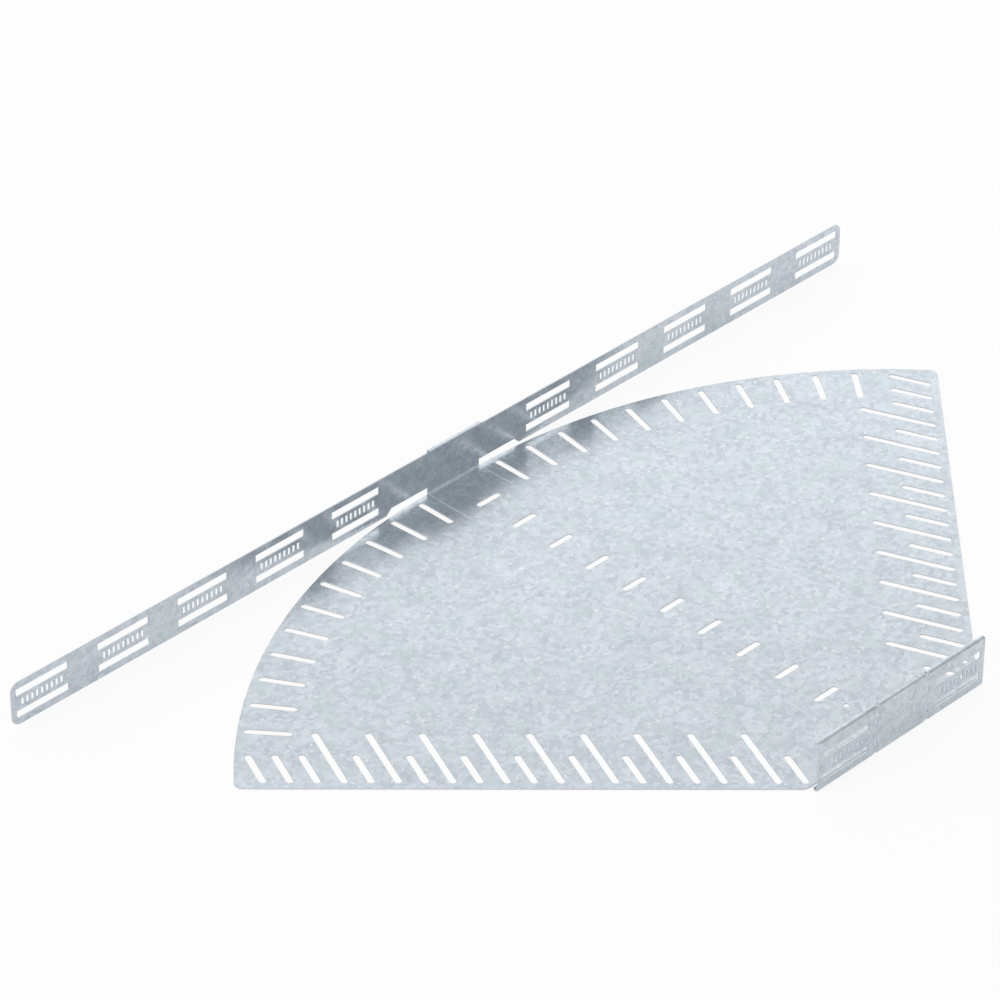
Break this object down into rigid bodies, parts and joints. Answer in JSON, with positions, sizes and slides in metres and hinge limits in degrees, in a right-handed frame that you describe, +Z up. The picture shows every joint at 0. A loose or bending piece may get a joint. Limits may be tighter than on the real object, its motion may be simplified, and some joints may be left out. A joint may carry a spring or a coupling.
{
  "type": "cable tray bend",
  "caption": "Horizontal bend for a perforated cable tray: a flat fan-shaped bottom with slotted edges, a straight flat outer side rail and a short inner side rail, all folded from one sheet.",
  "frame": {"origin": "underside of the sheet, in the middle of the part's length and width", "axes": "+X along the two side rails, +Y from the inner rail to the outer rail, +Z up"},
  "size_m": [1.156, 0.5946, 0.056],
  "materials": {
    "galvanised_steel": "pre-galvanised sheet with a fine mottled spangle, semi-gloss"
  },
  "bodies": {
    "root": {"cable_tray_bend": "galvanised_steel"}
  },
  "joints": []
}
